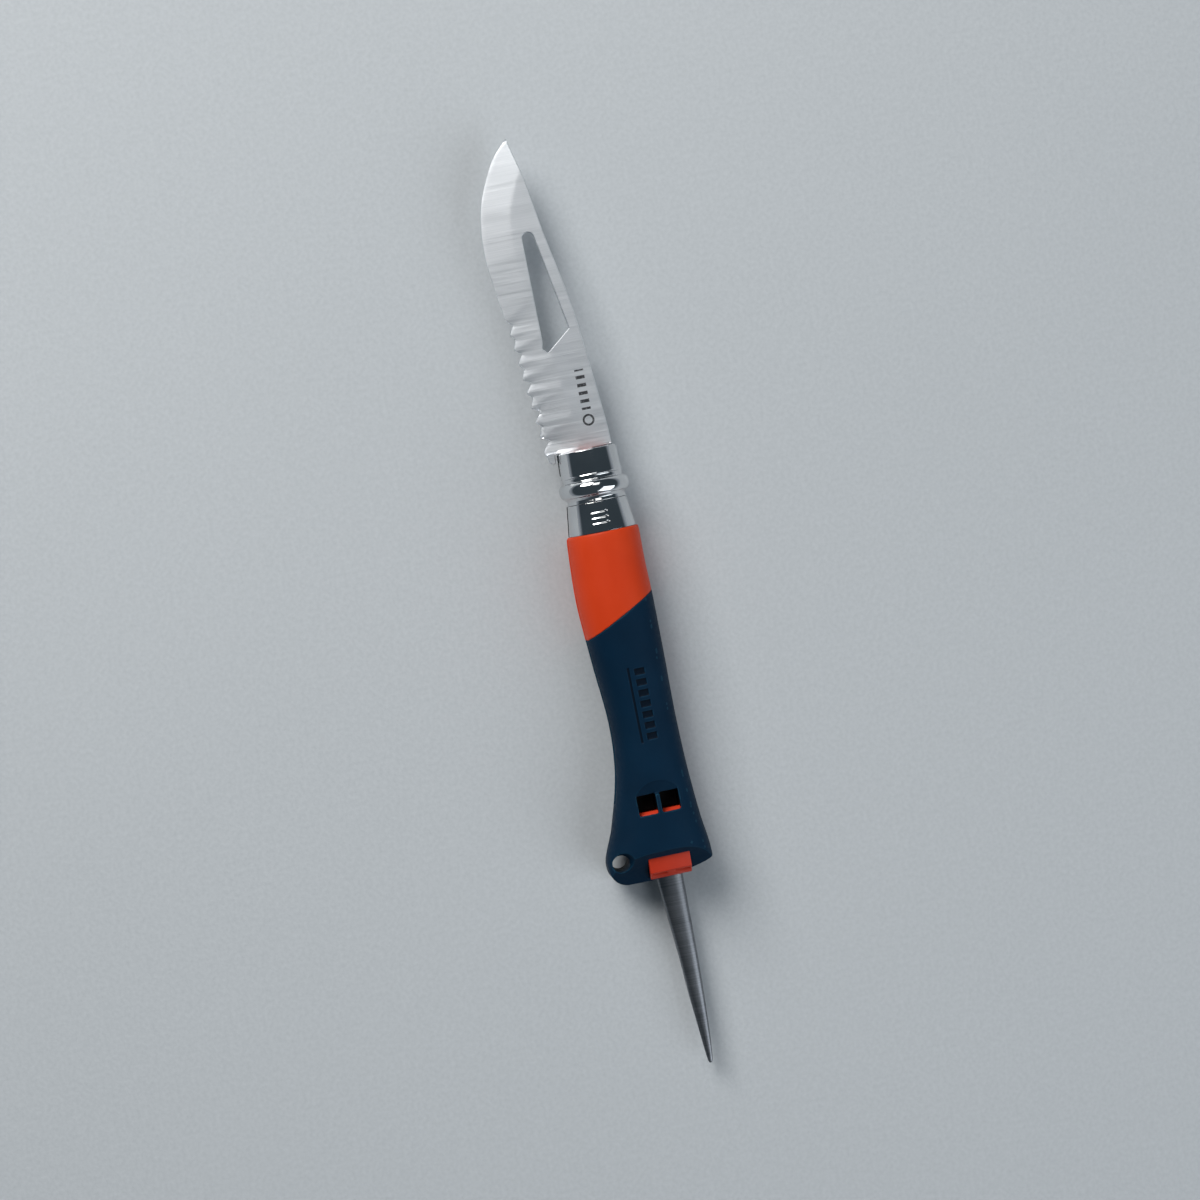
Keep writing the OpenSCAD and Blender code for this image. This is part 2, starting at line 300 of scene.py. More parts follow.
def within(n, low, high):
    """1 between two corners given in millimetres, 0 outside them."""
    axes = n.coordinates()
    factor = None
    for axis, a, b in zip("XYZ", place([low])[0], place([high])[0]):
        value = axes[axis]
        part = n.math("MULTIPLY", n.math("GREATER_THAN", value, a), n.math("LESS_THAN", value, b))
        factor = part if factor is None else n.math("MULTIPLY", factor, part)
    return factor


def plastic_material(name, dark, light, roughness, painted_shade_box=None):
    n = Nodes(name)
    cloud = n.noise(70, 3)
    flow = n.noise(30, 4, n.stretched((3.0, 0.6, 3.0)))
    grain = n.noise(3200, 2)
    tone = n.fit(n.blend(cloud, flow, 0.5), 0.35, 0.65, 0, 1)
    colour = n.mix(tone, dark, light)
    # Painted shade: inside the given box the colour turns near black, standing in for the shade deep in a
    # hollow.
    if painted_shade_box is not None:
        colour = n.mix(within(n, *painted_shade_box), colour, (0.001, 0.001, 0.0012))
    return n.finish(Base_Color=colour, Specular_IOR_Level=0.2,
                    Roughness=n.fit(n.noise(1100, 3), 0.3, 0.7, roughness - 0.05, roughness + 0.07),
                    Normal=n.bump(grain, 0.3, 0.00004))


def ground_steel_material(name, dark, light, roughness, mark=None):
    """Steel ground across its length: fine lines along X that differ along Y."""
    n = Nodes(name)
    fine = n.noise(1.0, 3, n.stretched((60, 6500, 60)))
    broad = n.noise(1.0, 3, n.stretched((25, 700, 25)))
    cloud = n.noise(60, 3)
    lines = n.blend(fine, broad, 0.2)
    tone = n.fit(n.blend(lines, cloud, 0.3), 0.35, 0.65, 0, 1)
    colour = n.mix(tone, dark, light)
    if mark is not None:
        colour = n.mix(mark(n), colour, (0.05, 0.05, 0.055))
    return n.finish(Base_Color=colour, Metallic=1.0,
                    Roughness=n.fit(lines, 0.3, 0.7, roughness - 0.06, roughness + 0.08),
                    Normal=n.bump(lines, 0.22, 0.00004))


def polished_material():
    n = Nodes("polished_collar")
    smudge = n.noise(140, 5)
    ripple = n.noise(220, 2)
    return n.finish(Base_Color=n.mix(n.fit(smudge, 0.3, 0.7, 0, 1), (0.60, 0.61, 0.62), (0.68, 0.69, 0.70)),
                    Metallic=1.0, Roughness=n.fit(smudge, 0.35, 0.75, 0.05, 0.12),
                    Normal=n.bump(ripple, 0.1, 0.00002))


def etched_mark(n):
    """A plain etched mark on the blade's front: a row of short bars and a ring, in metres."""
    axes = n.coordinates()
    centre = place([ETCHED_AT])[0]
    x, y, z = (n.math("SUBTRACT", axes[axis], at) for axis, at in zip("XYZ", centre))
    repeat = n.math("PINGPONG", n.math("ADD", y, 0.1), 0.0011)
    bars = n.math("MULTIPLY", n.math("LESS_THAN", n.math("ABSOLUTE", x), 0.00125),
                  n.math("LESS_THAN", repeat, 0.00045))
    bars = n.math("MULTIPLY", bars, n.math("LESS_THAN", n.math("ABSOLUTE", y), 0.0056))
    ring_y = n.math("ADD", y, 0.0085)
    distance = n.math("SQRT", n.math("ADD", n.math("MULTIPLY", x, x), n.math("MULTIPLY", ring_y, ring_y)))
    ring = n.math("LESS_THAN", n.math("ABSOLUTE", n.math("SUBTRACT", distance, 0.00135)), 0.00028)
    mark = n.math("MAXIMUM", bars, ring)
    front = n.math("GREATER_THAN", z, 0.0)
    wear = n.fit(n.noise(1800, 2), 0.35, 0.5, 0.7, 0.95)
    return n.math("MULTIPLY", n.math("MULTIPLY", mark, front), wear)


# ---------- mesh helpers ----------


def read_points(obj):
    """The object's points in millimetres."""
    co = np.empty(len(obj.data.vertices) * 3)
    obj.data.vertices.foreach_get("co", co)
    return unplace(co.reshape(-1, 3))


def write_points(obj, points):
    obj.data.vertices.foreach_set("co", place(points).ravel())
    obj.data.update()


def new_object(name, points, faces):
    mesh = bpy.data.meshes.new(name)
    mesh.from_pydata([tuple(p) for p in place(points)], [], [tuple(int(i) for i in f) for f in faces])
    tidy = bmesh.new()
    tidy.from_mesh(mesh)
    bmesh.ops.recalc_face_normals(tidy, faces=tidy.faces)
    if tidy.calc_volume(signed=True) < 0:
        bmesh.ops.reverse_faces(tidy, faces=tidy.faces)
    tidy.to_mesh(mesh)
    tidy.free()
    obj = bpy.data.objects.new(name, mesh)
    bpy.context.scene.collection.objects.link(obj)
    return obj


def drop(obj):
    mesh = obj.data
    bpy.data.objects.remove(obj)
    bpy.data.meshes.remove(mesh)


def apply_modifiers(obj):
    graph = bpy.context.evaluated_depsgraph_get()
    graph.update()
    made = bpy.data.meshes.new_from_object(obj.evaluated_get(graph), depsgraph=graph)
    old = obj.data
    obj.modifiers.clear()
    obj.data = made
    bpy.data.meshes.remove(old)


def boolean(obj, others, operation="DIFFERENCE"):
    """Cuts, joins or meets obj with the other solids, which are used up."""
    for other in others:
        step = obj.modifiers.new("boolean", "BOOLEAN")
        step.operation = operation
        step.solver = "MANIFOLD"
        step.object = other
        apply_modifiers(obj)
        drop(other)
    return obj


def prism(points, low, high, order="xyz"):
    """A closed outline stretched from low to high: order names its two axes and the third."""
    n = len(points)
    columns = ["xyz".index(letter) for letter in order]
    solid = np.zeros((2 * n, 3))
    solid[:, columns[0]] = [p[0] for p in points] * 2
    solid[:, columns[1]] = [p[1] for p in points] * 2
    solid[:, columns[2]] = [low] * n + [high] * n
    faces = [list(range(n)), list(range(n, 2 * n))]
    faces += [[i, (i + 1) % n, n + (i + 1) % n, n + i] for i in range(n)]
    return new_object("cutter", solid, faces)


def slab(x0, x1, y0, y1, z0, z1):
    return prism([(x0, y0), (x1, y0), (x1, y1), (x0, y1)], z0, z1)


def arc(centre, radius, start, end, steps):
    angles = np.radians(np.linspace(start, end, steps + 1))
    return [(centre[0] + radius * math.cos(a), centre[1] + radius * math.sin(a)) for a in angles]


def disc(centre, radius, low, high, steps=48):
    return prism(arc(centre, radius, 0, 360 - 360 / steps, steps - 1), low, high)


def curve(points, steps):
    """A smooth curve through the points, as rows of numbers."""
    p = np.asarray(points, float)
    rows = []
    for i in range(len(p) - 1):
        a, b, c, d = p[max(i - 1, 0)], p[i], p[i + 1], p[min(i + 2, len(p) - 1)]
        for t in np.arange(steps) / steps:
            rows.append(0.5 * (2 * b + (c - a) * t + (2 * a - 5 * b + 4 * c - d) * t**2
                               + (3 * b - a - 3 * c + d) * t**3))
    rows.append(p[-1])
    return np.array(rows)


def grid_faces(rings, n):
    """Faces between rings of n points each, with both ends closed."""
    faces = [(k * n + i, k * n + (i + 1) % n, (k + 1) * n + (i + 1) % n, (k + 1) * n + i)
             for k in range(rings - 1) for i in range(n)]
    return faces + [tuple(range(n)), tuple(range((rings - 1) * n, rings * n))]


def shade(obj, sharp_angle=None):
    """Smooth shading, with edges that turn more than sharp_angle degrees left sharp."""
    obj.data.polygons.foreach_set("use_smooth", [True] * len(obj.data.polygons))
    if sharp_angle is not None:
        obj.data.set_sharp_from_angle(angle=math.radians(sharp_angle))


def dress(obj, name, material, body, node):
    """Names a finished piece, and says what it rides on and which CAD node it replaces."""
    obj.name = obj.data.name = name
    obj.data.materials.clear()
    obj.data.materials.append(material)
    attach(obj, body)
    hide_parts(node)
    return obj


# ---------- handle mouldings ----------

# distance along Y, left, right and front half sizes, roundness of the section
STATIONS = [(-22.9, 9.4, 9.4, 9.4, 2.0), (-23.9, 10.1, 10.0, 10.0, 2.0), (-33, 10.7, 9.9, 10.2, 2.1),
            (-43, 10.9, 10.1, 10.4, 2.2), (-59, 9.9, 10.0, 9.9, 2.3), (-76, 8.7, 9.8, 9.3, 2.3),
            (-90, 9.8, 10.1, 9.5, 2.4), (-104, 13.6, 11.0, 9.7, 2.6), (-113, 17.1, 12.1, 9.6, 2.7),
            (-121.5, 17.3, 12.4, 9.4, 2.8)]
STATION_CURVE = curve(STATIONS, 12)
BACK = (AXIS.z - cad_box[0][2]) / MM
BACK_POWER = 3.2
RIM_Y = -23.5
GRIP = 1.4
GRIP_EDGE = ((-10.4, -51.8), (9.8, -41.3))
BLADE_SLOT = (7.0, -97.6, 1.3)
WINDOW_Y = (-101.5, -95.9)
WINDOW_X = ((-6.15, -0.9), (0.3, 5.55))
WINDOW_RAMP_Y = -91.9
CHAMBER_END_Y = -83
CHAMBER_Z = (2.6, 7.0)
INSERT_END_Y = -100.8
INSERT_Z = (2.2, 7.4)
INSERT_PLAY = 0.03
WINDWAY_Z = (4.6, 5.6)
BEVEL_TOP = (-111.8, 9.6)
BEVEL_ANGLE = 43
BEVEL_HOLLOW = 0.5
LANYARD = ((-13.45, -113.6), 2.4)
LANYARD_FLARE = ((5.0, -0.1), (6.2, 0.25), (7.4, 0.75), (12.0, 3.0))
CORE_CORNER = (-8.8, -101)
NOSE_R = 6.6
SPIKE_SLOT_Z = (-7.0, -2.6)
SPIKE_SLOT = [(0.6, -103.3), (3.6, -81.0), (8.5, -49.2), (9.7, -48.2), (FAR, -48.2), (FAR, -130),
              (-4.7, -130), (-4.7, -112), (0, -108)]
SPIKE_TANG_R = 6.2
VOXEL = 0.25
SMOOTH_ROUNDS = 3
SNAP_REACH = 0.16
# the pressed mark on the grip: its ends, pitch, lowest height, and the middle and half width of both rows
PALM_Y = (-81.7, -60.7)
PALM_PITCH = 3.0
PALM_Z = 6.5
PALM_BARS = (1.5, 1.5)
PALM_LINE = (-1.5, 0.35)
PALM_DEPTH = 0.4


def form_sizes(y):
    """Left, right, front and back half sizes, and the section's two powers, at each y."""
    table = STATION_CURVE[::-1]
    left, right, front, power = (np.interp(y, table[:, 0], table[:, i]) for i in range(1, 5))
    rim = y > RIM_Y
    back = np.where(rim, front, BACK)
    back_power = np.where(rim, 2.0, np.maximum(power, BACK_POWER))
    return left, right, front, back, power, back_power


def handle_form(inset):
    """The handle's outer form, smaller all round by inset."""
    n = 128
    ys = np.concatenate([[-22.9, -23.0, -23.2, -23.5, -23.9], np.arange(-25.0, -121.6, -1.0)])
    left, right, front, back, power, back_power = form_sizes(ys)
    angle = np.radians(360 * (np.arange(n) + 0.5) / n)
    cos, sin = np.cos(angle), np.sin(angle)
    points = []
    for k, y in enumerate(ys):
        half = np.where(cos > 0, right[k], left[k]) - inset
        tall = np.where(sin > 0, front[k], back[k]) - inset
        e = 2 / np.where(sin > 0, power[k], back_power[k])
        points += list(zip(half * np.sign(cos) * abs(cos) ** e, np.full(n, y),
                           tall * np.sign(sin) * abs(sin) ** e))
    return new_object("form", points, grid_faces(len(ys), n))


def snap_to_form(obj):
    """Moves the points that lie close to the outer form right onto it, and leaves the rounded edges."""
    p = read_points(obj)
    left, right, front, back, power, back_power = form_sizes(p[:, 1])
    half = np.where(p[:, 0] > 0, right, left)
    tall = np.where(p[:, 2] > 0, front, back)
    e = np.where(p[:, 2] > 0, power, back_power)
    f = ((abs(p[:, 0]) / half) ** e + (abs(p[:, 2]) / tall) ** e) ** (1 / e)
    radius = np.hypot(p[:, 0], p[:, 2])
    gap = radius * (1 / np.maximum(f, 1e-6) - 1)
    weight = np.clip((SNAP_REACH - abs(gap)) / (SNAP_REACH * 0.5), 0, 1)
    scale = 1 + weight * (1 / np.maximum(f, 1e-6) - 1)
    p[:, 0] *= scale
    p[:, 2] *= scale
    write_points(obj, p)


def grip_side(above):
    """One side of the slanting edge of the soft grip."""
    (x0, y0), (x1, y1) = GRIP_EDGE
    run = np.array([x1 - x0, y1 - y0]) / math.hypot(x1 - x0, y1 - y0)
    across = np.array([-run[1], run[0]]) * (FAR if above else -2 * FAR)
    start, end = np.array([x0, y0]) - run * FAR, np.array([x1, y1]) + run * FAR
    return prism([start, end, end + across, start + across], -FAR, FAR)


def tail_plan(inset):
    """The handle's plan with its rounded tail corners."""
    points = [(FAR, 0), (FAR, -100), (12.3 - inset, -110)]
    points += arc((10.1, -115.3), 2.2 - inset, 0, -62, 6)
    points += arc((-7.5, -60.4), 60 - inset, -73.5, -92.5, 12)
    points += arc((-11.5, -115.0), 5.4 - inset, -100, -175, 10)
    points += [(-17.2 + inset, -111), (-FAR, -100), (-FAR, 0)]
    return prism(points, -FAR, FAR)


def tail_bevel(drop_z=0.0):
    """The slanting cut at the tail's front, slightly hollow."""
    slope = math.tan(math.radians(BEVEL_ANGLE))
    y0, z0 = BEVEL_TOP
    z0 -= drop_z
    low = y0 - 9.5
    points = [(y0 + 2, z0 + 2 * slope), (y0, z0)]
    points += [(y0 + (low - y0) * t, z0 + (low - y0) * t * slope - BEVEL_HOLLOW * math.sin(math.pi * t))
               for t in (0.2, 0.4, 0.6, 0.8)]
    points += [(low, z0 + (low - y0) * slope), (-FAR * 3, z0 - 9), (-FAR * 3, FAR), (y0 + 2, FAR)]
    return prism(points, -FAR, FAR, "yzx")


def lanyard_cutters():
    """The straight hole and its flared mouths, in front and at the back."""
    centre, r = LANYARD
    n = 48
    cutters = [disc(centre, r, -FAR, FAR, n)]
    for side in (-1, 1):
        points = [(x, y, side * height) for height, wider in LANYARD_FLARE
                  for x, y in arc(centre, r + wider, 0, 360 - 360 / n, n - 1)]
        cutters.append(new_object("cutter", points, grid_faces(len(LANYARD_FLARE), n)))
    return cutters


def blade_slot():
    slot_x, slot_y, slot_z = BLADE_SLOT
    return slab(-FAR, slot_x, slot_y, 1, -slot_z, slot_z)


def hollows():
    """Everything that is cut out of both mouldings."""
    left, right = WINDOW_X[0][0], WINDOW_X[1][1]
    cutters = [blade_slot(), prism(SPIKE_SLOT, *SPIKE_SLOT_Z),
               disc(pivot("spike_fold")[:2], SPIKE_TANG_R + 0.4, *SPIKE_SLOT_Z)]
    for x0, x1 in WINDOW_X:
        cutters.append(slab(x0, x1, *WINDOW_Y, CHAMBER_Z[0], FAR))
        cutters.append(slab(x0, x1, WINDOW_Y[0] - 0.01, CHAMBER_END_Y, *CHAMBER_Z))
    cutters.append(slab(left, right, -FAR * 3, INSERT_END_Y, *INSERT_Z))
    ramp_end = WINDOW_Y[1] - 0.2
    ramp = [(WINDOW_RAMP_Y, 9.62), (ramp_end, 8.35), (ramp_end, 20), (WINDOW_RAMP_Y, 20)]
    cutters.append(prism(ramp, left, right, "yzx"))
    return cutters + lanyard_cutters()


def soften(obj):
    """One skin with small rounded edges, as a moulding has."""
    remesh = obj.modifiers.new("remesh", "REMESH")
    remesh.mode = "VOXEL"
    remesh.voxel_size = VOXEL * MM
    smooth = obj.modifiers.new("smooth", "SMOOTH")
    smooth.factor = 0.5
    smooth.iterations = SMOOTH_ROUNDS
    apply_modifiers(obj)
    snap_to_form(obj)
    shade(obj)
    return obj


def join_into(obj, other):
    """Puts another solid's faces into obj, without cutting."""
    whole = bmesh.new()
    whole.from_mesh(obj.data)
    whole.from_mesh(other.data)
    whole.to_mesh(obj.data)
    whole.free()
    drop(other)
    return obj


def covered_core():
    """The part of the core that the soft grip covers."""
    core = boolean(handle_form(GRIP), [tail_plan(GRIP)], "INTERSECT")
    corner_x, corner_y = CORE_CORNER
    return boolean(core, [slab(-FAR, corner_x, -FAR * 3, corner_y, -FAR, FAR), tail_bevel(GRIP)])


def make_core(material):
    front = boolean(handle_form(0), [grip_side(True)], "INTERSECT")
    hidden = covered_core()
    nose = prism(arc((0, 0), NOSE_R, 0, 354, 59), -24, -0.35, "xzy")
    for part in (front, hidden, nose):
        boolean(part, hollows())
    core = soften(join_into(join_into(front, hidden), nose))
    return dress(core, "handle_core_moulding", material, "handle", "handle_core")


def make_grip(material):
    grip = boolean(handle_form(0), [tail_plan(0), grip_side(False)], "INTERSECT")
    boolean(grip, [covered_core(), tail_bevel(), *hollows()])
    deboss(soften(grip))
    return dress(grip, "soft_grip", material, "handle", "grip_sleeve")


def deboss(obj):
    """Plain grooves where the palm rests: a long row of short bars and a thin line beside it."""
    p = read_points(obj)
    x, y = p[:, 0], p[:, 1]
    pressed = (p[:, 2] > PALM_Z) & (y > PALM_Y[0]) & (y < PALM_Y[1])
    phase = abs((y - PALM_Y[1]) % PALM_PITCH - PALM_PITCH / 2)
    bars = np.clip((1.0 - phase) / 0.3, 0, 1) * np.clip((PALM_BARS[1] - abs(x - PALM_BARS[0])) / 0.3, 0, 1)
    line = np.clip((PALM_LINE[1] - abs(x - PALM_LINE[0])) / 0.2, 0, 1)
    p[:, 2] -= np.where(pressed, PALM_DEPTH * np.maximum(bars, 0.6 * line), 0)
    write_points(obj, p)


def make_mouthpiece(material):
    """The whistle's block in the tail, with a windway to each window."""
    floor, roof = INSERT_Z[0], INSERT_Z[1] - INSERT_PLAY
    inner, lip = WINDOW_Y[0], INSERT_END_Y - 0.05
    profile = [(inner, floor), (inner, 4.2), (lip, 5.8), (lip, 6.4), (inner, roof), (-113.6, roof),
               (-117.8, 6.2), (-119.9, 2.9), (-119.5, floor)]
    block = prism(profile, WINDOW_X[0][0] + INSERT_PLAY, WINDOW_X[1][1] - INSERT_PLAY, "yzx")
    ways = [slab(x0 + 0.5, x1 - 0.5, -FAR * 3, FAR, *WINDWAY_Z) for x0, x1 in WINDOW_X]
    boolean(block, ways)
    bevel = block.modifiers.new("bevel", "BEVEL")
    bevel.width = 0.16 * MM
    bevel.segments = 3
    apply_modifiers(block)
    shade(block, 40)
    return dress(block, "mouthpiece", material, "handle", "whistle_mouthpiece")


# ---------- collar ----------

RING_R, RING_LEN, RING_BORE = 8.4, 14.4, 7.6
RING_SLIT, RING_NOTCH_Y = 1.6, -5.9
TUBE_R, TUBE_BORE, TUBE_TOP = 7.55, 6.6, -0.3
CONE_Y, CONE_LEN, CONE_GROWTH = -14.5, 8.3, 1.1
# the collar's plain grooves: their places, half width, depth, middle angle and half angle
GROOVES_Y = (-17.2, -18.7, -20.2)
GROOVE_HALF, GROOVE_DEPTH, GROOVE_AT, GROOVE_SPAN = 0.32, 0.11, -4, 16


def rounded(profile, radius, steps=4):
    """The closed outline with each sharp corner turned into a small curve."""
    p = np.asarray(profile, float)
    out = []
    for i in range(len(p)):
        before, here, after = p[i - 1], p[i], p[(i + 1) % len(p)]
        a, b = here - before, after - here
        if abs(math.atan2(a[0] * b[1] - a[1] * b[0], a @ b)) < math.radians(25):
            out.append(here)
            continue
        reach = [min(radius, 0.4 * np.linalg.norm(q - here)) for q in (before, after)]
        a = here + (before - here) / np.linalg.norm(before - here) * reach[0]
        b = here + (after - here) / np.linalg.norm(after - here) * reach[1]
        for t in np.linspace(0, 1, steps + 1):
            out.append((1 - t) ** 2 * a + 2 * t * (1 - t) * here + t**2 * b)
    return out


def lathe(profile, n=256):
    """A solid turned about the handle's axis from an outline of (radius, y)."""
    points = []
    for i in range(n):
        angle = 2 * math.pi * i / n
        points += [(r * math.cos(angle), y, r * math.sin(angle)) for r, y in profile]
    m = len(profile)
    faces = [(i * m + j, i * m + (j + 1) % m, ((i + 1) % n) * m + (j + 1) % m, ((i + 1) % n) * m + j)
             for i in range(n) for j in range(m)]
    return new_object("turned", points, faces)


def make_ring(material):
    """The turned ring with its bead, its slit and the notch that clears the folded blade."""
    bead = [(8.45 + 1.5 * math.sin(a) ** 0.8, -10.55 + 2.1 * math.cos(a))
            for a in np.radians(np.linspace(12, 168, 14))]
    outline = [(RING_BORE, 0), (8.3, 0), (8.62, -6.7), (8.8, -7.0), (8.5, -7.3), (8.52, -8.2), *bead,
               (8.22, -13.45), (8.5, -RING_LEN), (RING_BORE, -RING_LEN)]
    ring = lathe(rounded(outline, 0.22))
    turn = math.radians(joints["ring_turn"]["range_deg"][1]) + math.asin(RING_SLIT / RING_R)
    notch = [(0, 0), (-FAR * math.cos(turn), -FAR * math.sin(turn)), (-FAR, -FAR / 4), (-FAR, 0)]
    slit = slab(-FAR, 0, -FAR, FAR, -RING_SLIT, RING_SLIT)
    boolean(ring, [slit, prism(notch, -FAR, RING_NOTCH_Y, "xzy")])
    shade(ring, 38)
    return dress(ring, "locking_ring_polished", material, "locking_ring", "locking_ring")


def make_collar(material):
    """The tube that carries the ring, and the cone below it with three plain grooves."""
    cone = [(RING_R + CONE_GROWTH * t, CONE_Y - CONE_LEN * t) for t in np.linspace(0, 1, 70)]
    outline = [(TUBE_BORE, TUBE_TOP), (TUBE_R, TUBE_TOP), (TUBE_R, CONE_Y), *cone,
               (TUBE_BORE, CONE_Y - CONE_LEN)]
    collar = lathe(rounded(outline, 0.1, 3), 320)
    p = read_points(collar)
    outer = np.hypot(p[:, 0], p[:, 2]) > RING_R - 0.1
    angle = np.degrees(np.arctan2(p[:, 0], p[:, 2]))
    groove = np.zeros(len(p))
    for y in GROOVES_Y:
        across = np.clip((GROOVE_HALF - abs(p[:, 1] - y)) / 0.25, 0, 1)
        groove = np.maximum(groove, across * np.clip((GROOVE_SPAN - abs(angle - GROOVE_AT)) / 3, 0, 1))
    shrink = 1 - np.where(outer, GROOVE_DEPTH * groove / 9.0, 0)
    p[:, 0] *= shrink
    p[:, 2] *= shrink
    write_points(collar, p)
    boolean(collar, [blade_slot()])
    shade(collar, 38)
    return dress(collar, "fixed_collar_polished", material, "handle", "fixed_collar")


# ---------- blade ----------

SPINE = [(7.25, 0.3), (6.65, 10.9), (4.0, 38.6), (0.1, 60.8), (-2.0, 74.6), (-3.4, 81.0), (-5.0, 87.7)]
EDGE = [(-5.0, 87.7), (-9.5, 83.0), (-13.2, 76.2), (-15.7, 69.1), (-16.9, 59.1), (-16.3, 50.1),
        (-15.2, 41.6), (-14.7, 38.7)]
HEEL = [(-11.0, 0.0), (-10.6, -1.6), (-9.8, -2.3), (-9.0, -2.0), (-8.9, 0.3)]
HALF_THICK = 1.0
EDGE_HALF, EDGE_BEVEL, BEVEL_RISE, GRIND_SLOPE = 0.04, 0.16, 0.27, 0.085
RIM_CHAMFER = 0.13
RIM_INSET = 0.14
GROUND_FROM_Y = 0.6
FIRST_NOTCH, NOTCH_PITCH, LAST_NOTCH = 4.25, 4.11, 8
ETCHED_AT = (2.2, 16.4, 0.0)
PIN_BORE = 2.05


def serrations():
    """The outline of the deep and shallow notches, from the plain edge down to the heel."""
    points = []
    for y, deep, line, low in notches():
        depth = (1.25 + 0.85 * low) if deep else (0.7 + 0.45 * low)
        points += [(line + 0.05, y + 1.25), (line + 0.15 * depth, y + 0.95), (line + depth * 0.8, y + 0.45),
                   (line + depth, y)]
        points += [(line + depth * (1 - t) ** 1.5, y - 2.75 * t) for t in (0.15, 0.3, 0.5, 0.75, 1.0)]
    return [p for p in points if p[1] > 1.2]


def notches():
    """For each notch its y, whether it is deep, the tooth line's x, and how near the heel it is, 0 to 1."""
    for i in range(LAST_NOTCH, -1, -1):
        y = FIRST_NOTCH + NOTCH_PITCH * i
        yield y, i % 2 == 0, -11.12 - 0.0875 * y, 1 - i / LAST_NOTCH


def shackle_key():
    points = arc((-4.3, 59.9), 1.65, 10, 180, 16)
    points += [(-5.95, 31.6)]
    points += arc((-5.7, 29.5), 0.6, 180, 250, 5)
    points += arc((-5.1, 29.0), 0.8, 250, 310, 5)
    return points + [(1.95, 33.6)]


def resample(points, step):
    """The closed outline with points no further apart than step."""
    p = [np.asarray(q, float) for q in points]
    out = []
    for a, b in zip(p, p[1:] + p[:1]):
        count = max(1, math.ceil(np.linalg.norm(b - a) / step))
        out += [a + (b - a) * t for t in np.arange(count) / count]
    return np.array(out)


def offset_loop(loop, distance):
    """The outline moved to its left by distance."""
    run = np.roll(loop, -1, 0) - np.roll(loop, 1, 0)
    run /= np.linalg.norm(run, axis=1)[:, None]
    return loop + distance * np.stack([-run[:, 1], run[:, 0]], 1)


def distance_to(points, line):
    """Distance from each point to an open line of many short steps."""
    best = np.full(len(points), 1e9)
    for start in range(0, len(line), 64):
        part = line[start:start + 64]
        best = np.minimum(best, np.sqrt(((points[:, None] - part[None]) ** 2).sum(2)).min(1))
    return best


def inside(points, loop):
    """True for each point inside the closed outline."""
    x, y = points[:, 0], points[:, 1]
    hit = np.zeros(len(points), bool)
    for (x0, y0), (x1, y1) in zip(loop, np.roll(loop, -1, 0)):
        crosses = (y0 > y) != (y1 > y)
        with np.errstate(divide="ignore", invalid="ignore"):
            hit ^= crosses & (x < (x1 - x0) * (y - y0) / (y1 - y0) + x0)
    return hit


def signed_area(loop):
    nxt = np.roll(loop, -1, 0)
    return 0.5 * (loop[:, 0] * nxt[:, 1] - nxt[:, 0] * loop[:, 1]).sum()


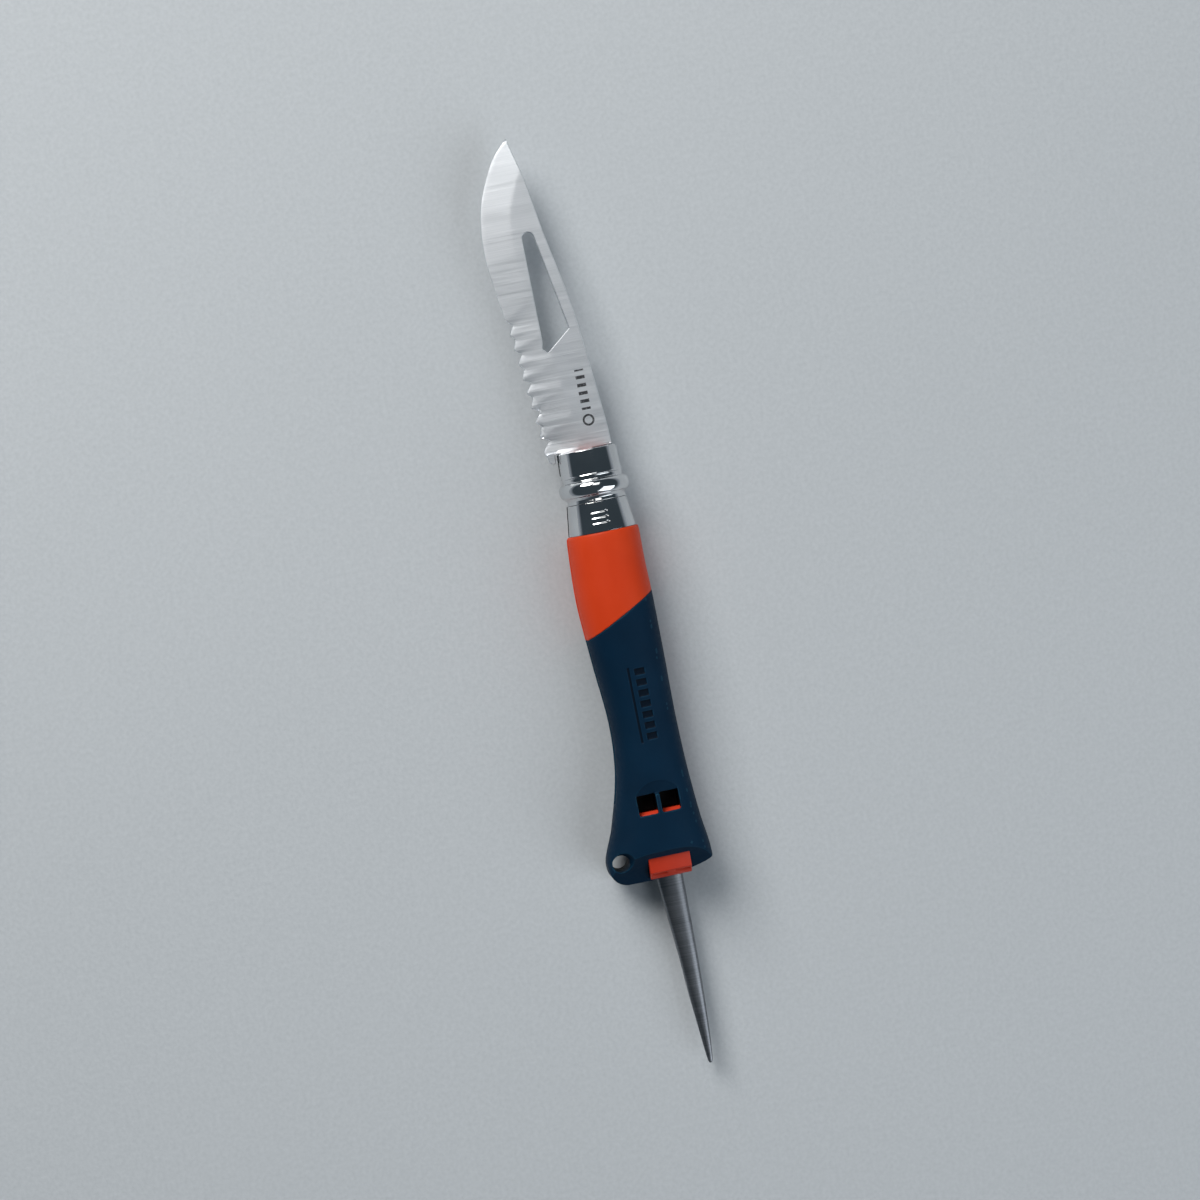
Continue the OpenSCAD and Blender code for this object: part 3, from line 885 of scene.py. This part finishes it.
def make_blade(material):
    """A flat blade meshed from its outline, thinned to its edge, with a hollow face at each notch."""
    centre = pivot("blade_fold")[:2]
    cutting = list(map(tuple, curve(EDGE, 12))) + serrations()
    tang = arc(centre, 5.2, 180, 360 + 46, 60)
    outline = list(map(tuple, curve(SPINE, 12)))[:-1] + cutting + HEEL + [(-7.2, 0.3)] + tang
    outer = resample(outline, 0.4)
    key = resample(shackle_key(), 0.4)
    bore = resample(arc(centre, PIN_BORE, 0, 350, 35), 0.5)
    loops = [loop if signed_area(loop) > 0 else loop[::-1] for loop in (outer, key, bore)]
    insets = [offset_loop(loops[0], RIM_INSET), offset_loop(loops[1], -RIM_INSET)]
    xs, ys = np.meshgrid(np.arange(-18, 9, 0.5), np.arange(-10, 90, 0.5))
    field = np.stack([xs.ravel(), ys.ravel()], 1)
    keep = inside(field, loops[0]) & ~inside(field, loops[1]) & ~inside(field, loops[2])
    for loop in loops:
        keep &= distance_to(field, loop) > 0.38
    field = field[keep]
    rims = []
    for points in insets:
        good = inside(points, loops[0]) & ~inside(points, loops[1])
        good &= np.min([distance_to(points, loop) for loop in loops[:2]], 0) > 0.09
        rims.append(points[good])
    flat = np.concatenate([*loops, *rims, field])
    edges, start = [], 0
    for loop in loops:
        n = len(loop)
        edges += [(start + i, start + (i + 1) % n) for i in range(n)]
        start += n
    result = delaunay_2d_cdt([Vector(p) for p in flat], edges, [], 0, 1e-5)
    flat = np.array([tuple(p) for p in result[0]])
    triangles = np.array([t for t in result[2] if len(t) == 3])
    middle = flat[triangles].mean(1)
    keep = inside(middle, loops[0]) & ~inside(middle, loops[1]) & ~inside(middle, loops[2])
    triangles = triangles[keep]

    sharp = resample(cutting, 0.15)
    sharp = sharp[distance_to(sharp, np.array(cutting)) < 0.6]
    to_edge = distance_to(flat, sharp)
    to_rim = np.min([distance_to(flat, resample(loop, 0.1)) for loop in loops[:2]], 0)
    near_edge = to_edge < to_rim + 0.05
    ground = flat[:, 1] > GROUND_FROM_Y
    thick = np.where(ground, np.minimum(HALF_THICK, 0.30 + GRIND_SLOPE * to_edge), HALF_THICK)
    bevel = EDGE_HALF + (to_edge / EDGE_BEVEL) * BEVEL_RISE
    thick = np.where(ground & (to_edge < EDGE_BEVEL), bevel, thick)
    chamfer = np.clip(1 - to_rim / RIM_CHAMFER, 0, 1) * RIM_CHAMFER
    thick = np.maximum(thick - np.where(near_edge & ground, 0, chamfer), 0.03)
    front, back = thick.copy(), thick
    for y, deep, line, _ in notches():
        u = (flat[:, 0] - line) / (4.4 if deep else 2.6)
        v = (flat[:, 1] - y + 0.5) / (2.0 if deep else 1.6)
        scoop = np.clip(1 - v**2, 0, 1) ** 0.5 * np.clip(1 - u, 0, 1)
        front = np.minimum(front, np.maximum(HALF_THICK - 0.55 * scoop, 0.1))
        back = np.minimum(back, np.maximum(HALF_THICK - 1.0 * scoop, -0.05))

    used = np.unique(triangles)
    index = np.full(len(flat), -1)
    index[used] = np.arange(len(used))
    triangles = index[triangles]
    count = len(used)
    top = np.column_stack([flat[used], front[used]])
    bottom = np.column_stack([flat[used], -back[used]])
    counts = {}
    for a, b, c in triangles:
        for pair in ((a, b), (b, c), (c, a)):
            counts[pair] = counts.get(pair, 0) + 1
    walls = [(a, b, b + count, a + count) for a, b in counts if (b, a) not in counts]
    faces = [tuple(t) for t in triangles] + [tuple(t[::-1] + count) for t in triangles] + walls
    blade = new_object("blade", np.concatenate([top, bottom]), faces)
    shade(blade, 32)
    return dress(blade, "blade_ground", material, "blade", "blade")


# ---------- marlinspike ----------

SPIKE_ROOT_Y, SPIKE_REACH, SPIKE_HALF_THICK = -120.4, 54.4, 2.0
# distance from root to tip, left edge, right edge, part of the full thickness
SPIKE_STATIONS = [(-0.10, -4.3, 3.7, 1), (0, -4.0, 3.6, 1), (0.2, -3.1, 3.45, 0.98), (0.42, -2.1, 3.3, 0.93),
                  (0.62, -1.45, 2.95, 0.82), (0.8, -0.65, 2.5, 0.66), (0.93, -0.05, 2.0, 0.47),
                  (0.985, 0.3, 1.65, 0.32), (1, 0.6, 1.3, 0.16)]


def make_spike(material):
    """A tapering spike with one ground facet, on a round tang."""
    centre = pivot("spike_fold")
    rows = curve(SPIKE_STATIONS, 14)
    n = 64
    angle = np.radians(360 * (np.arange(n) + 0.5) / n)
    cos, sin = np.cos(angle), np.sin(angle)
    points = []
    for t, left, right, thick in rows:
        half = (right - left) / 2
        x = half * np.sign(cos) * abs(cos) ** 0.8
        z = thick * SPIKE_HALF_THICK * np.sign(sin) * abs(sin) ** 0.72
        facet = 0.35 * half + 0.8 * (x + half)
        z = np.where(sin > 0, np.minimum(z, np.maximum(facet, 0.0)), z)
        y = SPIKE_ROOT_Y - t * SPIKE_REACH
        points += list(zip(x + (left + right) / 2, np.full(n, y), z + centre[2]))
    spike = new_object("spike", points, grid_faces(len(rows), n))
    tang_half = SPIKE_HALF_THICK + 0.1
    tang = disc(centre[:2], SPIKE_TANG_R, centre[2] - tang_half, centre[2] + tang_half, 96)
    boolean(spike, [tang], "UNION")
    boolean(spike, [disc(centre[:2], PIN_BORE, -FAR, FAR)])
    shade(spike, 28)
    return dress(spike, "marlinspike_ground", material, "marlinspike", "marlinspike")


# ---------- the knife ----------

INNER_STEEL = ["blade_rivet", "spike_pin", "spike_spring", "spring_pins", "spike_stop_pin"]


def dress_cad_nodes():
    """Node materials for the CAD solids that show as they are."""
    steel = ground_steel_material("pin_steel", (0.42, 0.43, 0.44), (0.55, 0.56, 0.57), 0.32)
    bronze = ground_steel_material("washer_bronze", (0.50, 0.33, 0.16), (0.62, 0.42, 0.22), 0.35)
    for name in INNER_STEEL + ["blade_washers"]:
        obj = frame["nodes"][name]
        obj.data.materials.clear()
        obj.data.materials.append(bronze if name == "blade_washers" else steel)
        obj.data.polygons.foreach_set("use_smooth", [False] * len(obj.data.polygons))


def make_knife():
    polished = polished_material()
    # Painted shade: the orange core is coloured near black inside the whistle's chamber, standing in for the
    # shade deep in it.
    chamber_shade_box = (WINDOW_X[0][0] - 0.6, WINDOW_Y[0] + 0.35, 0), (WINDOW_X[1][1] + 0.6, -80, 8.6)
    orange = plastic_material("orange_core", (0.55, 0.040, 0.006), (0.62, 0.051, 0.009), 0.46, chamber_shade_box)
    red_orange = plastic_material("orange_mouthpiece", (0.55, 0.036, 0.013), (0.62, 0.047, 0.018), 0.42)
    make_core(orange)
    make_grip(grip_material())
    make_mouthpiece(red_orange)
    make_ring(polished)
    make_collar(polished)
    bright = ground_steel_material("ground_blade", (0.76, 0.79, 0.82), (0.88, 0.90, 0.93), 0.42, etched_mark)
    make_blade(bright)
    # Painted shade: the spike's ground steel is coloured far darker than the blade's, standing in for the
    # shade and dark reflections on the spike.
    spike_steel_painted_shade = ground_steel_material("ground_spike", (0.15, 0.16, 0.175), (0.27, 0.28, 0.30), 0.36)
    make_spike(spike_steel_painted_shade)
    dress_cad_nodes()


make_camera()
make_studio()
make_knife()
